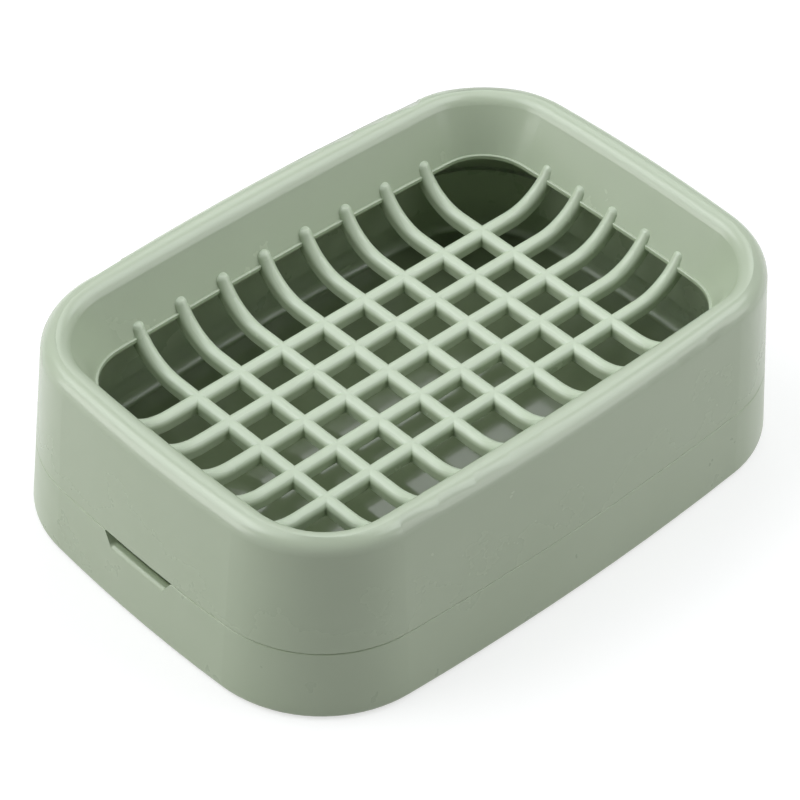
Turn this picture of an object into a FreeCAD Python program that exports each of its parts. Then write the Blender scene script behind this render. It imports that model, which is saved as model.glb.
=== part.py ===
import FreeCAD, Part
import math
import os
import Sketcher

# A soap box made of two mouldings.
# The drip tray stands on the shelf and catches the water that runs off the soap.
# The drain frame stands on the tray's edge and carries the soap on its moulded grid.
# Millimetres. The origin is the middle of the underside, X runs along the box, Z is up.

# Driving sizes; angles are in degrees
SIZES = {
    # Whole box, outside, measured at the underside
    "box_length": 129.0,
    "box_width": 92.8,
    "box_height": 38.2,
    "corner_radius": 24.5,
    "long_side_bow": 600.0,
    "short_side_bow": 330.0,
    "wall_lean": 4.8,
    # Drip tray
    "tray_height": 14.7,
    "tray_wall": 1.8,
    "tray_floor": 2.0,
    "tray_floor_round": 2.0,
    "foot_round": 1.2,
    "notch_width": 14.4,
    "notch_depth": 2.4,
    "notch_flare": 33.0,
    "notch_round": 0.8,
    # Drain frame: skirt, rim with a flat between its two roundings, and the collar round the grid
    "skirt_wall": 2.4,
    "rim_thickness": 2.4,
    "rim_outer_round": 3.0,
    "rim_inner_round": 2.8,
    "rim_end_flat": 0.4,
    "rim_side_flat": 0.65,
    "collar_corner_step": 13.85,
    "collar_long_bow": 1200.0,
    "collar_short_bow": 500.0,
    "collar_depth": 11.5,
    "collar_lean": 24.5,
    "collar_wall": 1.8,
    "collar_edge_round": 0.7,
    # Narrow ledge that the collar's slope ends on
    "ledge_width": 0.45,
    "ledge_thickness": 0.8,
    "ledge_round": 0.2,
    "seam_round": 0.3,
    # Lip of the drain frame that drops inside the tray
    "lip_depth": 5.0,
    "lip_root": 3.0,
    "lip_wall": 1.5,
    "lip_clearance": 0.25,
    "lip_lead": 0.5,
    # Soap grid
    "grid_sag": 3.1,
    "rib_width": 2.8,
    "rib_depth": 2.8,
    "rib_bend_radius": 11.0,
    "rib_bend_angle": 60.0,
    "cross_rib_count": 8,
    "cross_rib_pitch": 10.0,
    "cross_rib_bend_inset": 10.3,
    "long_rib_count": 5,
    "long_rib_pitch": 8.5,
    "long_rib_bend_inset": 9.65,
}

# Formulas that several features share
SEAM_INSET = "Sizes.tray_height * tan(Sizes.wall_lean)"
TRAY_INSIDE = SEAM_INSET + " + Sizes.tray_wall"
LIP_OUTSIDE = TRAY_INSIDE + " + Sizes.lip_clearance"
NOTCH_FLOOR = "Sizes.tray_height - Sizes.notch_depth"
NOTCH_MOUTH = "Sizes.notch_width + 2 * Sizes.notch_depth * tan(Sizes.notch_flare)"
SKIRT_HEIGHT = "Sizes.box_height - Sizes.tray_height"
COLLAR_EDGE = "Sizes.box_height - Sizes.collar_depth"
LEDGE_TOP = COLLAR_EDGE + " + Sizes.ledge_thickness"
SLOPE_DEPTH = "(Sizes.collar_depth - Sizes.ledge_thickness)"
RIM_INSET = "Sizes.box_height * tan(Sizes.wall_lean)"
RIM_OUTER_BEND = "Sizes.rim_outer_round * tan(45 - Sizes.wall_lean / 2)"
RIM_INNER_BEND = "Sizes.rim_inner_round * tan(45 - Sizes.collar_lean / 2)"
COLLAR_SLOPE = SLOPE_DEPTH + " * tan(Sizes.collar_lean)"
COLLAR_INSET = " + ".join((RIM_INSET, RIM_OUTER_BEND, RIM_INNER_BEND, COLLAR_SLOPE))
COLLAR_LENGTH = "(Sizes.box_length - 2 * (%s + Sizes.rim_end_flat))" % COLLAR_INSET
COLLAR_WIDTH = "(Sizes.box_width - 2 * (%s + Sizes.rim_side_flat))" % COLLAR_INSET
GRID_TOP = COLLAR_EDGE + " - Sizes.grid_sag"
RIB_SHOULDER = "Sizes.rib_bend_radius + Sizes.rib_width / 2"
RIB_FOOT = "Sizes.rib_bend_radius + Sizes.rib_depth"

UP = FreeCAD.Vector(0, 0, 1)
CLOSE = 1e-4

doc = FreeCAD.newDocument("soap_box")


# The sheet of sizes

def make_sheet():
    """Spreadsheet with one named cell for each driving size."""
    sizes = doc.addObject("Spreadsheet::Sheet", "Sizes")
    for row, (name, value) in enumerate(SIZES.items(), start=1):
        sizes.set("A%d" % row, name)
        sizes.set("B%d" % row, str(value))
        sizes.setAlias("B%d" % row, name)
    doc.recompute()
    return sizes


sheet = make_sheet()


def number(formula):
    """Present value of a formula, for first positions in a sketch and for finding edges."""
    result = sheet.evalExpression(formula)
    return getattr(result, "Value", result)


# Sketches

def origin_part(body, role):
    """One of the body's own origin planes or axes."""
    return next(item for item in body.Origin.OriginFeatures if item.Role == role)


def new_sketch(body, name, plane, height="0"):
    """Sketch on an origin plane of its body, moved along the plane's normal by a formula."""
    sketch = body.newObject("Sketcher::SketchObject", name)
    sketch.AttachmentSupport = [(origin_part(body, plane), "")]
    sketch.MapMode = "FlatFace"
    sketch.setExpression("AttachmentOffset.Base.z", height)
    return sketch


def hold(sketch, *constraint):
    """Adds a constraint without a size."""
    sketch.addConstraint(Sketcher.Constraint(*constraint))


def bind(sketch, name, formula, *constraint):
    """Adds a named dimension and ties it to a formula."""
    index = sketch.addConstraint(Sketcher.Constraint(*constraint, number(formula)))
    sketch.renameConstraint(index, name)
    sketch.setExpression("Constraints." + name, formula)


def draw_lines(sketch, points):
    """Straight lines from each point to the next."""
    for start, end in zip(points, points[1:]):
        sketch.addGeometry(Part.LineSegment(start, end), False)


def join_in_ring(sketch, count):
    """Joins the end of each of the first pieces of a sketch to the start of the next."""
    for piece in range(count):
        hold(sketch, "Coincident", piece, 2, (piece + 1) % count, 1)


def draw_outline(sketch, length, width, corner, long_bow, short_bow, tag=""):
    """Rounded rectangle with sides that bow outwards: four side arcs and four corner arcs."""
    first = sketch.GeometryCount
    sizes = [number(formula) for formula in (length, width, corner, long_bow, short_bow)]
    draw_outline_arcs(sketch, *sizes)
    right, top, left, bottom = first, first + 2, first + 4, first + 6
    corners = (first + 1, first + 3, first + 5, first + 7)
    for step in range(8):
        hold(sketch, "Tangent", first + step, 2, first + (step + 1) % 8, 1)
    for end, side in ((right, top), (left, bottom)):
        hold(sketch, "PointOnObject", end, 3, -1)
        hold(sketch, "PointOnObject", side, 3, -2)
    hold(sketch, "Equal", right, left)
    hold(sketch, "Equal", top, bottom)
    for arc in corners[1:]:
        hold(sketch, "Equal", corners[0], arc)
    bind(sketch, tag + "short_bow", short_bow, "Radius", right)
    bind(sketch, tag + "long_bow", long_bow, "Radius", top)
    bind(sketch, tag + "corner", corner, "Radius", corners[0])
    end_back = "(%s) - (%s) / 2" % (short_bow, length)
    side_back = "(%s) - (%s) / 2" % (long_bow, width)
    bind(sketch, tag + "right_end", end_back, "DistanceX", right, 3, -1, 1)
    bind(sketch, tag + "left_end", end_back, "DistanceX", -1, 1, left, 3)
    bind(sketch, tag + "top_side", side_back, "DistanceY", top, 3, -1, 1)
    bind(sketch, tag + "bottom_side", side_back, "DistanceY", -1, 1, bottom, 3)


def draw_outline_arcs(sketch, length, width, corner, long_bow, short_bow):
    """The eight arcs of an outline in turn, starting with the +X end and going round to the left."""
    end_centre = FreeCAD.Vector(length / 2 - short_bow, 0, 0)
    side_centre = FreeCAD.Vector(0, width / 2 - long_bow, 0)
    inside_end = Part.Circle(end_centre, UP, short_bow - corner)
    inside_side = Part.Circle(side_centre, UP, long_bow - corner)
    meets = [FreeCAD.Vector(point.X, point.Y, 0) for point in inside_end.intersect(inside_side)]
    corner_centre = max(meets, key=lambda point: point.x + point.y)
    across = FreeCAD.Vector(-corner_centre.x, corner_centre.y, 0)
    from_end = corner_centre - end_centre
    from_side = corner_centre - side_centre
    low = math.atan2(from_end.y, from_end.x)
    high = math.atan2(from_side.y, from_side.x)
    half_round = (
        (end_centre, short_bow, -low, low),
        (corner_centre, corner, low, high),
        (side_centre, long_bow, high, math.pi - high),
        (across, corner, math.pi - high, math.pi - low),
    )
    for flip, turn in ((1, 0), (-1, math.pi)):
        for centre, radius, start, stop in half_round:
            circle = Part.Circle(centre * flip, UP, radius)
            sketch.addGeometry(Part.ArcOfCircle(circle, start + turn, stop + turn), False)


def draw_box_outline(sketch, inset, tag=""):
    """Outline of the box at its underside, drawn in from its edge by a formula."""
    draw_outline(
        sketch,
        "Sizes.box_length - 2 * (%s)" % inset,
        "Sizes.box_width - 2 * (%s)" % inset,
        "Sizes.corner_radius - (%s)" % inset,
        "Sizes.long_side_bow - (%s)" % inset,
        "Sizes.short_side_bow - (%s)" % inset,
        tag,
    )


def draw_collar_outline(sketch, outset):
    """Outline of the lower end of the collar's slope, drawn out from it by a formula."""
    draw_outline(
        sketch,
        COLLAR_LENGTH + " + 2 * (%s)" % outset,
        COLLAR_WIDTH + " + 2 * (%s)" % outset,
        "Sizes.corner_radius - Sizes.collar_corner_step + (%s)" % outset,
        "Sizes.collar_long_bow + (%s)" % outset,
        "Sizes.collar_short_bow + (%s)" % outset,
    )


def draw_notch(sketch):
    """Shape that reaches down from the tray's top edge, with ends that spread upwards."""
    half = number("Sizes.notch_width / 2")
    mouth = number(NOTCH_MOUTH) / 2
    top = number("Sizes.tray_height")
    floor = number(NOTCH_FLOOR)
    places = ((-mouth, top), (-half, floor), (half, floor), (mouth, top))
    corners = [FreeCAD.Vector(x, z, 0) for x, z in places]
    draw_lines(sketch, corners + corners[:1])
    join_in_ring(sketch, 4)
    hold(sketch, "Symmetric", 1, 1, 1, 2, -2)
    hold(sketch, "Symmetric", 3, 2, 3, 1, -2)
    bind(sketch, "top_edge", "Sizes.tray_height", "DistanceY", -1, 1, 3, 2)
    bind(sketch, "width", "Sizes.notch_width", "DistanceX", 1, 1, 1, 2)
    bind(sketch, "mouth", NOTCH_MOUTH, "DistanceX", 3, 2, 3, 1)
    bind(sketch, "depth", "Sizes.notch_depth", "DistanceY", 1, 1, 3, 2)


def draw_rib_section(sketch):
    """Rib section hanging below the bend axis: half-round top, upright sides, flat underside."""
    half = number("Sizes.rib_width / 2")
    shoulder = -number(RIB_SHOULDER)
    foot = -number(RIB_FOOT)
    crown = Part.Circle(FreeCAD.Vector(0, shoulder, 0), UP, half)
    sketch.addGeometry(Part.ArcOfCircle(crown, 0, math.pi), False)
    corners = ((-half, shoulder), (-half, foot), (half, foot), (half, shoulder))
    draw_lines(sketch, [FreeCAD.Vector(x, z, 0) for x, z in corners])
    join_in_ring(sketch, 4)
    hold(sketch, "PointOnObject", 0, 3, -2)
    hold(sketch, "Vertical", 1)
    hold(sketch, "Horizontal", 2)
    hold(sketch, "Vertical", 3)
    hold(sketch, "Horizontal", 0, 1, 0, 2)
    hold(sketch, "Horizontal", 0, 1, 0, 3)
    bind(sketch, "half_width", "Sizes.rib_width / 2", "Radius", 0)
    bind(sketch, "shoulder", RIB_SHOULDER, "DistanceY", 0, 3, -1, 1)
    bind(sketch, "foot", RIB_FOOT, "DistanceY", 2, 1, -1, 1)


def draw_tip_section(sketch):
    """Quarter disc below the bend axis that turns into the rounded tip of a rib."""
    half = number("Sizes.rib_width / 2")
    middle = FreeCAD.Vector(0, -number(RIB_SHOULDER), 0)
    sketch.addGeometry(Part.ArcOfCircle(Part.Circle(middle, UP, half), 0, math.pi / 2), False)
    draw_lines(sketch, [middle + FreeCAD.Vector(0, half, 0), middle, middle + FreeCAD.Vector(half, 0, 0)])
    join_in_ring(sketch, 3)
    hold(sketch, "Coincident", 0, 3, 1, 2)
    hold(sketch, "PointOnObject", 0, 3, -2)
    hold(sketch, "Vertical", 1)
    hold(sketch, "Horizontal", 2)
    bind(sketch, "half_width", "Sizes.rib_width / 2", "Radius", 0)
    bind(sketch, "shoulder", RIB_SHOULDER, "DistanceY", 0, 3, -1, 1)


# Features

def extrude(body, kind, name, sketch, length, lean="0", reverse=False, centred=False):
    """Pad or Pocket of a sketch by a formula, with walls that lean out by an angle."""
    feature = body.newObject("PartDesign::" + kind, name)
    feature.Profile = sketch
    feature.Reversed = reverse
    feature.Midplane = centred
    feature.setExpression("Length", length)
    feature.setExpression("TaperAngle", lean)
    doc.recompute()
    return feature


def revolve(body, name, sketch, axis, angle, reverse):
    """Turns a sketch about one of its own axes."""
    feature = body.newObject("PartDesign::Revolution", name)
    feature.Profile = sketch
    feature.ReferenceAxis = (sketch, [axis])
    feature.Reversed = reverse
    feature.setExpression("Angle", angle)
    doc.recompute()
    return feature


def round_edges(body, name, radius, chosen):
    """Rounds the edges of the body so far that pass a test."""
    base = body.Tip
    edges = ["Edge%d" % place for place, edge in enumerate(base.Shape.Edges, start=1) if chosen(edge)]
    fillet = body.newObject("PartDesign::Fillet", name)
    fillet.Base = (base, edges)
    fillet.setExpression("Radius", radius)
    doc.recompute()


def round_loop(body, name, radius, height, outer=True):
    """Rounds the edges round a level face: its outer loop, or the loop of the opening in it."""
    level = number(height)
    loops = []
    for face in body.Tip.Shape.Faces:
        if abs(face.BoundBox.ZMin - level) < CLOSE and abs(face.BoundBox.ZMax - level) < CLOSE:
            loops += [wire for wire in face.Wires if wire.isSame(face.OuterWire) == outer]
    wanted = [edge for wire in loops for edge in wire.Edges]
    round_edges(body, name, radius, lambda edge: any(edge.isSame(other) for other in wanted))


# Drip tray

def in_notch_corner(edge):
    """True for the edges along the two lower corners of the notch."""
    aside = number("Sizes.notch_width / 2")
    floor = number(NOTCH_FLOOR)
    ends = [vertex.Point for vertex in edge.Vertexes]
    return all(abs(abs(end.y) - aside) < CLOSE and abs(end.z - floor) < CLOSE for end in ends)


def make_drip_tray():
    """Open tray with a flat floor, upright inner walls and a finger notch in the -X end."""
    body = doc.addObject("PartDesign::Body", "drip_tray")
    outside = new_sketch(body, "tray_outline", "XY_Plane")
    draw_box_outline(outside, "0")
    extrude(body, "Pad", "tray_block", outside, "Sizes.tray_height", "-Sizes.wall_lean")
    inside = new_sketch(body, "tray_inside_outline", "XY_Plane", "Sizes.tray_height")
    draw_box_outline(inside, TRAY_INSIDE)
    extrude(body, "Pocket", "tray_hollow", inside, "Sizes.tray_height - Sizes.tray_floor")
    round_loop(body, "foot_edge", "Sizes.foot_round", "0")
    round_loop(body, "floor_edge", "Sizes.tray_floor_round", "Sizes.tray_floor")
    round_loop(body, "tray_seam_edge", "Sizes.seam_round", "Sizes.tray_height")
    notch = new_sketch(body, "notch_outline", "YZ_Plane")
    draw_notch(notch)
    extrude(body, "Pocket", "finger_notch", notch, "Sizes.box_length / 2")
    round_edges(body, "notch_corners", "Sizes.notch_round", in_notch_corner)
    return body


# Drain frame

def make_drain_frame():
    """Skirt, broad rim and sloping collar with a ledge, and a lip that drops into the tray."""
    body = doc.addObject("PartDesign::Body", "drain_frame")
    outside = new_sketch(body, "skirt_outline", "XY_Plane", "Sizes.tray_height")
    draw_box_outline(outside, SEAM_INSET)
    extrude(body, "Pad", "frame_block", outside, SKIRT_HEIGHT, "-Sizes.wall_lean")
    inside = new_sketch(body, "skirt_inside_outline", "XY_Plane", "Sizes.tray_height")
    draw_box_outline(inside, SEAM_INSET + " + Sizes.skirt_wall")
    hollow_height = SKIRT_HEIGHT + " - Sizes.rim_thickness"
    extrude(body, "Pocket", "frame_hollow", inside, hollow_height, "-Sizes.wall_lean", reverse=True)
    funnel = new_sketch(body, "collar_outer_outline", "XY_Plane", COLLAR_EDGE)
    draw_collar_outline(funnel, "Sizes.collar_wall / cos(Sizes.collar_lean)")
    extrude(body, "Pad", "collar_block", funnel, "Sizes.collar_depth", "Sizes.collar_lean")
    slope = new_sketch(body, "collar_slope_outline", "XY_Plane", LEDGE_TOP)
    draw_collar_outline(slope, "0")
    extrude(body, "Pocket", "collar_slope", slope, SLOPE_DEPTH, "Sizes.collar_lean", reverse=True)
    opening = new_sketch(body, "collar_opening_outline", "XY_Plane", LEDGE_TOP)
    draw_collar_outline(opening, "-Sizes.ledge_width")
    extrude(body, "Pocket", "collar_opening", opening, "Sizes.ledge_thickness")
    lip = new_sketch(body, "lip_outline", "XY_Plane", "Sizes.tray_height + Sizes.lip_root")
    draw_box_outline(lip, LIP_OUTSIDE, "outer_")
    draw_box_outline(lip, LIP_OUTSIDE + " + Sizes.lip_wall", "inner_")
    extrude(body, "Pad", "lip", lip, "Sizes.lip_root + Sizes.lip_depth", reverse=True)
    round_loop(body, "rim_outer_edge", "Sizes.rim_outer_round", "Sizes.box_height")
    round_loop(body, "rim_inner_edge", "Sizes.rim_inner_round", "Sizes.box_height", outer=False)
    round_loop(body, "ledge_edge", "Sizes.ledge_round", LEDGE_TOP, outer=False)
    round_loop(body, "collar_edge", "Sizes.collar_edge_round", COLLAR_EDGE)
    round_loop(body, "skirt_seam_edge", "Sizes.seam_round", "Sizes.tray_height")
    round_loop(body, "lip_lead_edge", "Sizes.lip_lead", "Sizes.tray_height - Sizes.lip_depth")
    return body


# Soap grid

def bend_axis_sketch(body, name, plane, first, bend_start, side):
    """Sketch with its level axis on the first rib's bend axis: at one end, or midway for side 0."""
    sketch = new_sketch(body, name, plane, "%d * (%s)" % (side, bend_start))
    no_turn = FreeCAD.Rotation(FreeCAD.Vector(-side, 0, 0), 0)
    sketch.AttachmentOffset = FreeCAD.Placement(FreeCAD.Vector(), no_turn)
    sketch.setExpression("AttachmentOffset.Base.x", first)
    sketch.setExpression("AttachmentOffset.Base.y", GRID_TOP + " + Sizes.rib_bend_radius")
    return sketch


def make_ribs(body, name, plane, axis, count, pitch, bend_start):
    """Row of ribs along an axis: a straight bar whose two ends bend up and are rounded off."""
    first = "-(%s - 1) * %s / 2" % (count, pitch)
    section = bend_axis_sketch(body, name + "_section", plane, first, bend_start, 0)
    draw_rib_section(section)
    made = [extrude(body, "Pad", name + "_bar", section, "2 * (%s)" % bend_start, centred=True)]
    for side, end in ((1, "_front"), (-1, "_back")):
        foot = bend_axis_sketch(body, name + end + "_bend_section", plane, first, bend_start, side)
        draw_rib_section(foot)
        made.append(revolve(body, name + end + "_bend", foot, "H_Axis", "Sizes.rib_bend_angle", side > 0))
        tip = bend_axis_sketch(body, name + end + "_tip_section", plane, first, bend_start, side)
        tip.setExpression("AttachmentOffset.Rotation.Angle", "Sizes.rib_bend_angle")
        draw_tip_section(tip)
        made.append(revolve(body, name + end + "_tip", tip, "V_Axis", "180", side > 0))
    row = body.newObject("PartDesign::LinearPattern", name + "_row")
    row.Originals = made
    row.Direction = (origin_part(body, axis), [""])
    row.setExpression("Length", "(%s - 1) * %s" % (count, pitch))
    row.setExpression("Occurrences", count)
    body.Tip = row
    doc.recompute()


def make_soap_grid(frame):
    """Lattice of cross ribs and long ribs, cut back to where the ribs run out on the frame's collar."""
    lattice = doc.addObject("PartDesign::Body", "rib_lattice")
    cross_bend_start = COLLAR_WIDTH + " / 2 - Sizes.cross_rib_bend_inset"
    make_ribs(lattice, "cross_rib", "XZ_Plane", "X_Axis",
              "Sizes.cross_rib_count", "Sizes.cross_rib_pitch", cross_bend_start)
    long_bend_start = COLLAR_LENGTH + " / 2 - Sizes.long_rib_bend_inset"
    make_ribs(lattice, "long_rib", "YZ_Plane", "Y_Axis",
              "Sizes.long_rib_count", "Sizes.long_rib_pitch", long_bend_start)
    grid = doc.addObject("Part::Cut", "soap_grid")
    grid.Base = lattice
    grid.Tool = frame
    doc.recompute()
    return grid


# Build, check and write the sub-parts

def check(piece):
    """Stops where a sub-part is not one sound solid."""
    shape = piece.Shape
    if shape.isNull() or not shape.isValid() or len(shape.Solids) != 1:
        raise RuntimeError(piece.Label + " is not one sound solid")


drip_tray = make_drip_tray()
drain_frame = make_drain_frame()
soap_grid = make_soap_grid(drain_frame)

for item in doc.Objects:
    if "Invalid" in item.State or "Error" in item.State:
        raise RuntimeError(item.Name + " did not build")

os.makedirs("parts", exist_ok=True)
for piece in (drip_tray, drain_frame, soap_grid):
    check(piece)
    piece.Shape.exportStep("parts/%s.step" % piece.Label)
    print("%s: %.0f cubic millimetres" % (piece.Label, piece.Shape.Volume))
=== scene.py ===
import bmesh
import bpy
import math
from mathutils import Matrix, Vector

# A sage green soap box: a drip tray and, lifted off it by hand, a drain frame with a soap grid.
# Metres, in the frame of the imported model: X along the box, Z up, origin under its middle.

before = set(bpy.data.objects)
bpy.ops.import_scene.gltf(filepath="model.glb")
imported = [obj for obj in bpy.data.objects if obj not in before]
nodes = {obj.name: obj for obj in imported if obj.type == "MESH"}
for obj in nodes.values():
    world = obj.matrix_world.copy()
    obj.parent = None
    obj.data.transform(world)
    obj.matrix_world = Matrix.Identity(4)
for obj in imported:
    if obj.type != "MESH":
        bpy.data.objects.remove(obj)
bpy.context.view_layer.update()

scene = bpy.context.scene
scene.view_settings.view_transform = "Standard"

MM = 0.001

# Colours of the moulded plastic, and tones painted over it as light and shade, linear
SAGE = (0.425, 0.50, 0.352)
SAGE_LIGHT = (0.45, 0.525, 0.376)
SAGE_DEEP = (0.40, 0.475, 0.328)
# Painted light: paler tone painted on the frame's upward faces, rim and collar
SAGE_PAINTED_LIGHT = (0.475, 0.545, 0.41)
# Painted highlight: paler tone painted on the tops of the ribs
SAGE_PAINTED_RIB_LIGHT = (0.55, 0.63, 0.485)
# Painted shade: deep tone painted on the tray's floor, inside the box
SAGE_PAINTED_SHADE = (0.205, 0.255, 0.145)

# Heights on the box that its finish changes at
TRAY_FLOOR_EDGE = 4.0 * MM
SEAM_HEIGHT = 14.7 * MM
GRID_TOP = 23.6 * MM
RIM_BEND = 35.4 * MM
RIM_HEIGHT = 38.2 * MM
RIM_ROUND = 3.0 * MM

# The long sides bow outwards on a wide arc, up to where the corners start
SIDE_ARC = 584.0 * MM
SIDE_END = 41.5 * MM

# How much the direction along the box counts in telling the rim's outside from its inside
END_WEIGHT = 0.3

# Where the photograph was taken from, about the middle of the grid's top
VIEW_AZIMUTH = math.radians(-44.482)
VIEW_ELEVATION = math.radians(42.463)
VIEW_ROLL = math.radians(2.089)
VIEW_DISTANCE = 557.67 * MM
VIEW_ASIDE = -1.50 * MM
VIEW_ABOVE = -7.96 * MM
FOCAL_PIXELS = 3109.9
PICTURE_PIXELS = 800
SENSOR = 36.0


# Materials

class Finish:
    """A node material with short ways to add and join its nodes."""

    def __init__(self, name):
        self.material = bpy.data.materials.new(name)
        self.material.use_nodes = True
        self.tree = self.material.node_tree
        self.shader = self.tree.nodes["Principled BSDF"]
        coordinates = self.add("ShaderNodeTexCoord")
        self.place = coordinates.outputs["Object"]
        self.height = self.part(self.place, "Z")
        self.normal = coordinates.outputs["Normal"]
        self.upward = self.part(self.normal, "Z")

    def add(self, kind, **values):
        node = self.tree.nodes.new(kind)
        for name, value in values.items():
            setattr(node, name, value)
        return node

    def join(self, start, end):
        self.tree.links.new(start, end)

    def part(self, vector, axis):
        """One component of a vector."""
        node = self.add("ShaderNodeSeparateXYZ")
        self.join(vector, node.inputs["Vector"])
        return node.outputs[axis]

    def noise(self, size, detail=3.0, roughness=0.5):
        """Cloudy pattern whose patches are about one size across."""
        node = self.add("ShaderNodeTexNoise")
        node.inputs["Scale"].default_value = 1 / size
        node.inputs["Detail"].default_value = detail
        node.inputs["Roughness"].default_value = roughness
        self.join(self.place, node.inputs["Vector"])
        return node.outputs["Fac"]

    def ramp(self, value, low, high, start=0.0, end=1.0):
        """Value between two limits turned into a value between two others."""
        node = self.add("ShaderNodeMapRange")
        node.inputs["From Min"].default_value = low
        node.inputs["From Max"].default_value = high
        node.inputs["To Min"].default_value = start
        node.inputs["To Max"].default_value = end
        self.join(value, node.inputs["Value"])
        return node.outputs["Result"]

    def math(self, operation, *values):
        """Result of one operation on values."""
        node = self.add("ShaderNodeMath", operation=operation)
        for value, socket in zip(values, node.inputs):
            self.join(value, socket)
        return node.outputs["Value"]

    def times(self, first, second):
        """Product of two values."""
        return self.math("MULTIPLY", first, second)

    def vector(self, operation, *vectors, result="Vector"):
        """Result of one operation on vectors, each a socket or a constant."""
        node = self.add("ShaderNodeVectorMath", operation=operation)
        for vector, socket in zip(vectors, node.inputs):
            if isinstance(vector, tuple):
                socket.default_value = vector
            else:
                self.join(vector, socket)
        return node.outputs[result]

    def blend(self, share, first, second):
        """Value between two values, by a share."""
        node = self.add("ShaderNodeMix", data_type="FLOAT")
        self.join(share, node.inputs["Factor"])
        self.join(first, node.inputs[2])
        self.join(second, node.inputs[3])
        return node.outputs[0]

    def choose(self, share, first, second):
        """Vector between two vectors, by a share."""
        node = self.add("ShaderNodeMix", data_type="VECTOR")
        self.join(share, node.inputs["Factor"])
        self.join(first, node.inputs[4])
        self.join(second, node.inputs[5])
        return node.outputs[1]

    def mix(self, share, first, second):
        """Colour between two colours, by a share."""
        node = self.add("ShaderNodeMix", data_type="RGBA")
        self.join(share, node.inputs["Factor"])
        for socket, colour in ((node.inputs[6], first), (node.inputs[7], second)):
            if isinstance(colour, tuple):
                socket.default_value = (*colour, 1)
            else:
                self.join(colour, socket)
        return node.outputs[2]

    def bump(self, height, depth, under=None):
        """Gives the surface a height pattern of a given depth, over its own normal or another."""
        node = self.add("ShaderNodeBump")
        node.inputs["Distance"].default_value = depth
        self.join(height, node.inputs["Height"])
        if under is not None:
            self.join(under, node.inputs["Normal"])
        self.join(node.outputs["Normal"], self.shader.inputs["Normal"])

    def paint(self, colour):
        """Takes a colour as the material's own."""
        self.colour = colour
        self.join(colour, self.shader.inputs["Base Color"])

    def tint(self, share, tone):
        """Lays another tone over the colour, by a share that wanders a little."""
        patches = self.ramp(self.noise(9 * MM, detail=3), 0.3, 0.7, 0.88, 1.0)
        self.paint(self.mix(self.times(share, patches), self.colour, tone))

    def gloss(self, share, first, second):
        """Roughness between two roughnesses, by a share."""
        self.join(self.blend(share, first, second), self.shader.inputs["Roughness"])

    def smears(self, smooth, dull):
        """Roughness that wanders between two limits, as on plastic that hands have held."""
        return self.ramp(self.noise(11 * MM, detail=4, roughness=0.55), 0.3, 0.7, smooth, dull)


def sage_plastic(name):
    """Sage polypropylene in a slightly cloudy colour, before its gloss and its skin."""
    finish = Finish(name)
    clouds = finish.noise(26 * MM, detail=4)
    flow = finish.noise(7 * MM, detail=2)
    cloudy = finish.mix(finish.ramp(clouds, 0.3, 0.7), SAGE_DEEP, SAGE_LIGHT)
    finish.paint(finish.mix(finish.ramp(flow, 0.35, 0.65, 0.35, 0.65), cloudy, SAGE))
    finish.shader.inputs["IOR"].default_value = 1.58
    return finish


def wavy_skin(finish, under=None):
    """Barely wavy skin of a thin moulding."""
    finish.bump(finish.noise(18 * MM, detail=1), 0.03 * MM, under)


def rim_normal(finish):
    """Normal that follows the rim's outer rounding by its height, so its wide facets show less."""
    outward = finish.vector("NORMALIZE", finish.vector("MULTIPLY", finish.normal, (1, 1, 0)))
    along = finish.part(finish.place, "X")
    side = finish.add("ShaderNodeCombineXYZ")
    finish.join(finish.ramp(along, -SIDE_ARC, SIDE_ARC, -1, 1), side.inputs["X"])
    finish.join(finish.math("SIGN", finish.part(finish.place, "Y")), side.inputs["Y"])
    on_side = finish.ramp(finish.math("ABSOLUTE", along), SIDE_END - MM, SIDE_END, 1, 0)
    heading = finish.choose(on_side, outward, side.outputs["Vector"])
    rise = finish.ramp(finish.height, RIM_HEIGHT - RIM_ROUND, RIM_HEIGHT)
    level = finish.add("ShaderNodeVectorMath", operation="SCALE")
    finish.join(heading, level.inputs["Vector"])
    finish.join(finish.math("COSINE", finish.math("ARCSINE", rise)), level.inputs["Scale"])
    upright = finish.add("ShaderNodeCombineXYZ")
    finish.join(rise, upright.inputs["Z"])
    rounded = finish.vector("ADD", level.outputs["Vector"], upright.outputs["Vector"])
    level_out = finish.vector("MULTIPLY", outward, (END_WEIGHT, 1, 0))
    outside = finish.ramp(finish.vector("DOT_PRODUCT", level_out, finish.place, result="Value"), 0, MM)
    above = finish.ramp(finish.height, RIM_BEND, RIM_BEND + 0.1 * MM)
    return finish.choose(finish.times(outside, above), finish.normal, rounded)


def tray_plastic():
    """Satin outside; inside a polished floor, painted a deeper tone as shade."""
    finish = sage_plastic("tray_sage")
    # Painted shade: the floor is darkened where it lies low and faces up; the same mask makes it polished
    level = finish.ramp(finish.upward, 0.9, 0.99)
    low = finish.ramp(finish.height, TRAY_FLOOR_EDGE, SEAM_HEIGHT / 2, 1, 0)
    floor_shade_and_polish = finish.times(level, low)
    finish.tint(floor_shade_and_polish, SAGE_PAINTED_SHADE)
    finish.gloss(floor_shade_and_polish, finish.smears(0.26, 0.34), finish.smears(0.05, 0.09))
    wavy_skin(finish)
    return finish.material


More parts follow.
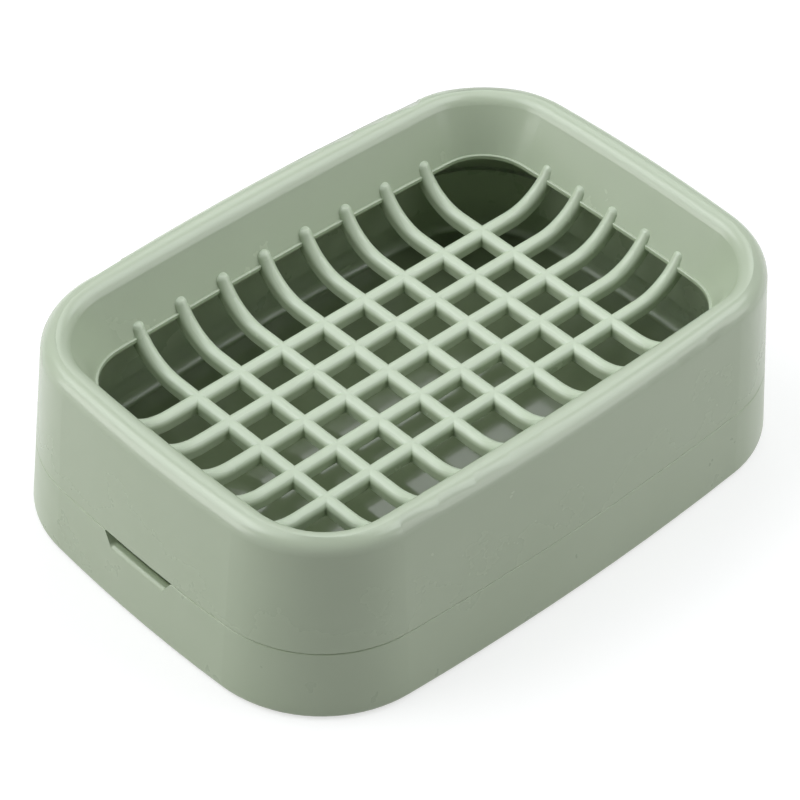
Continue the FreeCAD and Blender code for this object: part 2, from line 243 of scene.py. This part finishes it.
def frame_plastic():
    """Satin skirt, smoother towards the rim. Rim and collar, which face upwards, are painted a little paler
    as light from above.
    """
    finish = sage_plastic("frame_sage")
    even_normal = rim_normal(finish)
    # Painted light: faces that turn upwards, rim and collar, are painted paler
    finish.tint(finish.ramp(finish.part(even_normal, "Z"), 0.15, 0.45), SAGE_PAINTED_LIGHT)
    near_rim = finish.ramp(finish.height, SEAM_HEIGHT, RIM_HEIGHT)
    finish.gloss(near_rim, finish.smears(0.25, 0.32), finish.smears(0.21, 0.26))
    wavy_skin(finish, even_normal)
    return finish.material


def grid_plastic():
    """Smooth ribs, dulled on top where the soap lies, and painted paler on top as light from above."""
    finish = sage_plastic("grid_sage")
    # Painted highlight: the ribs' upward faces are painted paler
    finish.tint(finish.ramp(finish.upward, 0.0, 0.5), SAGE_PAINTED_RIB_LIGHT)
    finish.gloss(finish.ramp(finish.upward, 0.6, 1.0), finish.smears(0.22, 0.28), finish.smears(0.28, 0.35))
    wavy_skin(finish)
    return finish.material


def dress(node, material):
    """Gives a carried-over node its finish."""
    mesh = nodes[node].data
    mesh.materials.clear()
    mesh.materials.append(material)


dress("drip_tray", tray_plastic())
dress("drain_frame", frame_plastic())
dress("soap_grid", grid_plastic())


# Camera

def add_camera():
    """Camera at the photograph's place, with its long lens and slight roll."""
    level = math.cos(VIEW_ELEVATION)
    back = Vector((
        math.sin(VIEW_AZIMUTH) * level,
        -math.cos(VIEW_AZIMUTH) * level,
        math.sin(VIEW_ELEVATION),
    ))
    right = Vector((math.cos(VIEW_AZIMUTH), math.sin(VIEW_AZIMUTH), 0))
    up = back.cross(right)
    turn = Matrix.Rotation(VIEW_ROLL, 3, back)
    right, up = turn @ right, turn @ up
    data = bpy.data.cameras.new("camera")
    data.sensor_width = SENSOR
    data.lens = FOCAL_PIXELS / PICTURE_PIXELS * SENSOR
    data.clip_start = 0.01
    data.clip_end = 20
    camera = bpy.data.objects.new("camera", data)
    scene.collection.objects.link(camera)
    camera.matrix_world = Matrix((right, up, back)).transposed().to_4x4()
    camera.location = VIEW_ASIDE * right + VIEW_ABOVE * up + VIEW_DISTANCE * back + Vector((0, 0, GRID_TOP))
    scene.camera = camera


add_camera()


# Studio

AMBIENT_LEVEL = 0.05
BACKDROP_LEVEL = 0.65
BACKDROP_COLOUR = (0.98, 0.99, 1.0, 1)
COOL_LIGHT = (0.95, 0.98, 1.0)
FLOOR_COLOUR = (0.5, 0.5, 0.5, 1)
FLOOR_BOUNCE = 0.10
FLOOR_GLOW = 0.62

BOX_MIDDLE = Vector((0, 0, 20 * MM))
FLOOR_REACH = 3.0
FLOOR_DROP = 0.05 * MM


def add_softbox(name, place, width, height, power, colour=(1, 1, 1)):
    """Soft light of a given size at a place, turned to the box."""
    data = bpy.data.lights.new(name, "AREA")
    data.color = colour
    data.shape = "RECTANGLE"
    data.size = width
    data.size_y = height
    data.energy = power
    lamp = bpy.data.objects.new(name, data)
    scene.collection.objects.link(lamp)
    lamp.location = place
    lamp.rotation_euler = (BOX_MIDDLE - Vector(place)).to_track_quat("-Z", "Y").to_euler()


def join_seen_level(tree, socket, unseen, seen):
    """One level for light that falls on the box, another where camera, gloss or glass look."""
    rays = tree.nodes.new("ShaderNodeLightPath").outputs
    looking = rays["Is Camera Ray"]
    for kind in ("Is Glossy Ray", "Is Transmission Ray"):
        either = tree.nodes.new("ShaderNodeMath")
        either.operation = "MAXIMUM"
        tree.links.new(looking, either.inputs[0])
        tree.links.new(rays[kind], either.inputs[1])
        looking = either.outputs["Value"]
    level = tree.nodes.new("ShaderNodeMapRange")
    level.inputs["To Min"].default_value = unseen
    level.inputs["To Max"].default_value = seen
    tree.links.new(looking, level.inputs["Value"])
    tree.links.new(level.outputs["Result"], socket)


def add_floor():
    """White floor that shows as paper white, with the box's shadow on it; clear from below."""
    mesh = bpy.data.meshes.new("floor")
    plan = bmesh.new()
    bmesh.ops.create_grid(plan, x_segments=1, y_segments=1, size=FLOOR_REACH)
    bmesh.ops.translate(plan, verts=plan.verts, vec=(0, 0, -FLOOR_DROP))
    plan.to_mesh(mesh)
    plan.free()
    floor = bpy.data.objects.new("floor", mesh)
    scene.collection.objects.link(floor)
    finish = Finish("floor_paper")
    shader = finish.shader
    shader.inputs["Base Color"].default_value = FLOOR_COLOUR
    shader.inputs["Roughness"].default_value = 1.0
    shader.inputs["Specular IOR Level"].default_value = 0.0
    shader.inputs["Emission Color"].default_value = (1, 1, 1, 1)
    join_seen_level(finish.tree, shader.inputs["Emission Strength"], FLOOR_BOUNCE, FLOOR_GLOW)
    choice = finish.add("ShaderNodeMixShader")
    finish.join(finish.add("ShaderNodeNewGeometry").outputs["Backfacing"], choice.inputs["Fac"])
    finish.join(shader.outputs["BSDF"], choice.inputs[1])
    finish.join(finish.add("ShaderNodeBsdfTransparent").outputs["BSDF"], choice.inputs[2])
    finish.join(choice.outputs["Shader"], finish.tree.nodes["Material Output"].inputs["Surface"])
    mesh.materials.append(finish.material)


def set_world():
    """Dim surroundings behind a pale backdrop."""
    world = bpy.data.worlds.new("studio")
    scene.world = world
    world.use_nodes = True
    sky = world.node_tree.nodes["Background"]
    sky.inputs["Color"].default_value = BACKDROP_COLOUR
    join_seen_level(world.node_tree, sky.inputs["Strength"], AMBIENT_LEVEL, BACKDROP_LEVEL)


add_floor()
set_world()
add_softbox("back_softbox", (0.55, 0.56, 0.72), 0.45, 0.35, 0.8, COOL_LIGHT)
add_softbox("top_softbox", (0.0, 0.20, 1.00), 0.95, 0.75, 3.0, COOL_LIGHT)
add_softbox("left_softbox", (-0.80, 0.50, 0.38), 0.7, 0.5, 3.5)
add_softbox("left_top_softbox", (-0.38, 0.50, 0.85), 0.8, 0.55, 4.4, COOL_LIGHT)
add_softbox("right_softbox", (0.60, -0.75, 0.38), 0.7, 0.5, 2.2)
add_softbox("right_top_softbox", (0.55, -0.28, 0.85), 0.8, 0.55, 3.8, COOL_LIGHT)
